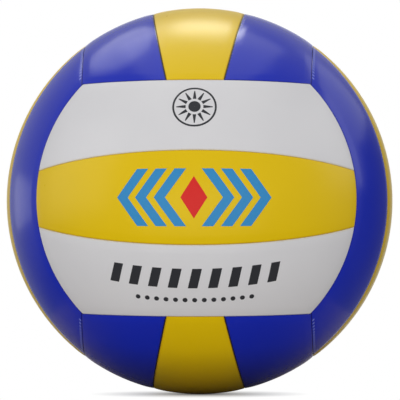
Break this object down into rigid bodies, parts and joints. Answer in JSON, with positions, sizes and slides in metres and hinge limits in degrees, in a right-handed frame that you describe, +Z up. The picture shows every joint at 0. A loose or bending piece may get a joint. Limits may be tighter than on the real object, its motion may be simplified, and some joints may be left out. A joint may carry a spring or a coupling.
{
  "type": "volleyball",
  "caption": "Inflatable sports ball sewn from curved strips of synthetic leather in white, yellow and blue, on foam pads over a rubber bladder, with a needle valve at the back.",
  "frame": {"origin": "centre of the ball", "axes": "+Z up, the front face towards -Y, +Y out through the valve in the middle of the back face, +X to the right as seen from the front"},
  "size_m": [0.21, 0.2099, 0.21],
  "materials": {
    "pvc_white": "satin",
    "pvc_yellow": "satin",
    "pvc_blue": "satin",
    "foam": "matte",
    "thread": "matte",
    "bladder_rubber": "matte",
    "valve_rubber": "satin",
    "ink_sky_blue": "satin",
    "ink_red": "satin",
    "ink_charcoal": "satin"
  },
  "bodies": {
    "root": {"panel_front_upper": "pvc_white", "panel_front_middle": "pvc_yellow", "panel_front_lower": "pvc_white", "panel_back_lower": "pvc_white", "panel_back_middle": "pvc_yellow", "panel_back_upper": "pvc_white", "panel_top_left": "pvc_blue", "panel_top_middle": "pvc_yellow", "panel_top_right": "pvc_blue", "panel_bottom_right": "pvc_blue", "panel_bottom_middle": "pvc_yellow", "panel_bottom_left": "pvc_blue", "panel_left_rear": "pvc_blue", "panel_left_middle": "pvc_yellow", "panel_left_fore": "pvc_blue", "panel_right_rear": "pvc_blue", "panel_right_middle": "pvc_yellow", "panel_right_fore": "pvc_blue", "pad_front_upper": "foam", "pad_front_middle": "foam", "pad_front_lower": "foam", "pad_back_lower": "foam", "pad_back_middle": "foam", "pad_back_upper": "foam", "pad_top_left": "foam", "pad_top_middle": "foam", "pad_top_right": "foam", "pad_bottom_right": "foam", "pad_bottom_middle": "foam", "pad_bottom_left": "foam", "pad_left_rear": "foam", "pad_left_middle": "foam", "pad_left_fore": "foam", "pad_right_rear": "foam", "pad_right_middle": "foam", "pad_right_fore": "foam", "seam_thread": "thread", "bladder": "bladder_rubber", "valve_housing": "valve_rubber", "valve_plug": "valve_rubber"}
  },
  "joints": []
}
